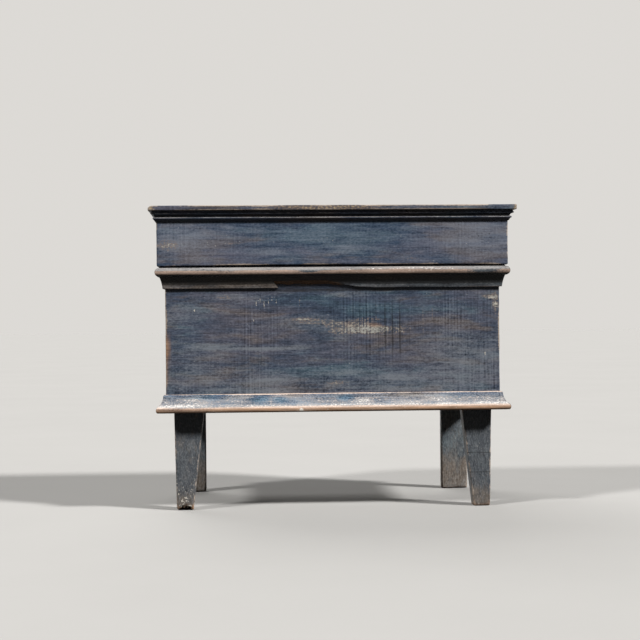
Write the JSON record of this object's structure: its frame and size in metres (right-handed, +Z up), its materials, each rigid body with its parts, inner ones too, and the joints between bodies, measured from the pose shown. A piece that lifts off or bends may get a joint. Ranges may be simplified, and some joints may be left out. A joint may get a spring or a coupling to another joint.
{
  "type": "blanket chest",
  "caption": "Low painted wooden blanket chest on tapered legs, with moulded base and rim and a deep box lid hinged at the back, for storing bedding.",
  "frame": {"origin": "on the floor, under the centre of the whole chest's box", "axes": "+X along the width, to the right as one faces the front, -Y out of the front, +Z up"},
  "size_m": [0.932, 0.5238, 0.7708],
  "materials": {
    "board_paint": "old blue paint on pine boards, rubbed thin along the grain, matt",
    "moulding_paint": "old blue paint worn to grey and bare wood on the rounds, dark in the hollows",
    "leg_paint": "old slate blue paint, flaked to bare wood at the feet and edges",
    "bare_wood": "unpainted aged pine, dry and matt",
    "iron": "dark hand-finished iron with a little rust"
  },
  "bodies": {
    "case": {"base_moulding_front": "moulding_paint", "base_moulding_left": "moulding_paint", "base_moulding_right": "moulding_paint", "bottom_cleat_back": "bare_wood", "bottom_cleat_front": "bare_wood", "bottom_front_board": "bare_wood", "bottom_rear_board": "bare_wood", "case_back_board": "board_paint", "case_front_board": "board_paint", "case_left_side": "board_paint", "case_right_side": "board_paint", "front_left_leg": "leg_paint", "front_right_leg": "leg_paint", "left_hinge_case_leaf": "iron", "left_hinge_case_screw_1": "iron", "left_hinge_case_screw_2": "iron", "left_hinge_case_screw_3": "iron", "left_hinge_pin": "iron", "rear_left_leg": "leg_paint", "rear_right_leg": "leg_paint", "right_hinge_case_leaf": "iron", "right_hinge_case_screw_1": "iron", "right_hinge_case_screw_2": "iron", "right_hinge_case_screw_3": "iron", "right_hinge_pin": "iron", "rim_moulding_front": "moulding_paint", "rim_moulding_left": "moulding_paint", "rim_moulding_right": "moulding_paint"},
    "lid": {"left_hinge_lid_leaf": "iron", "left_hinge_lid_screw_1": "iron", "left_hinge_lid_screw_2": "iron", "left_hinge_lid_screw_3": "iron", "lid_back_rail": "board_paint", "lid_front_rail": "board_paint", "lid_left_rail": "board_paint", "lid_moulding_front": "moulding_paint", "lid_moulding_left": "moulding_paint", "lid_moulding_right": "moulding_paint", "lid_right_rail": "board_paint", "lid_top_front_board": "board_paint", "lid_top_nail_1": "iron", "lid_top_nail_10": "iron", "lid_top_nail_2": "iron", "lid_top_nail_3": "iron", "lid_top_nail_4": "iron", "lid_top_nail_5": "iron", "lid_top_nail_6": "iron", "lid_top_nail_7": "iron", "lid_top_nail_8": "iron", "lid_top_nail_9": "iron", "lid_top_rear_board": "board_paint", "right_hinge_lid_leaf": "iron", "right_hinge_lid_screw_1": "iron", "right_hinge_lid_screw_2": "iron", "right_hinge_lid_screw_3": "iron"}
  },
  "joints": [
    {"name": "lid_hinge", "type": "hinge", "parent": "case", "child": "lid", "pos_m": [0, 0.25775, 0.61825], "axis": [-1, 0, 0], "range_deg": [0, 100]}
  ]
}
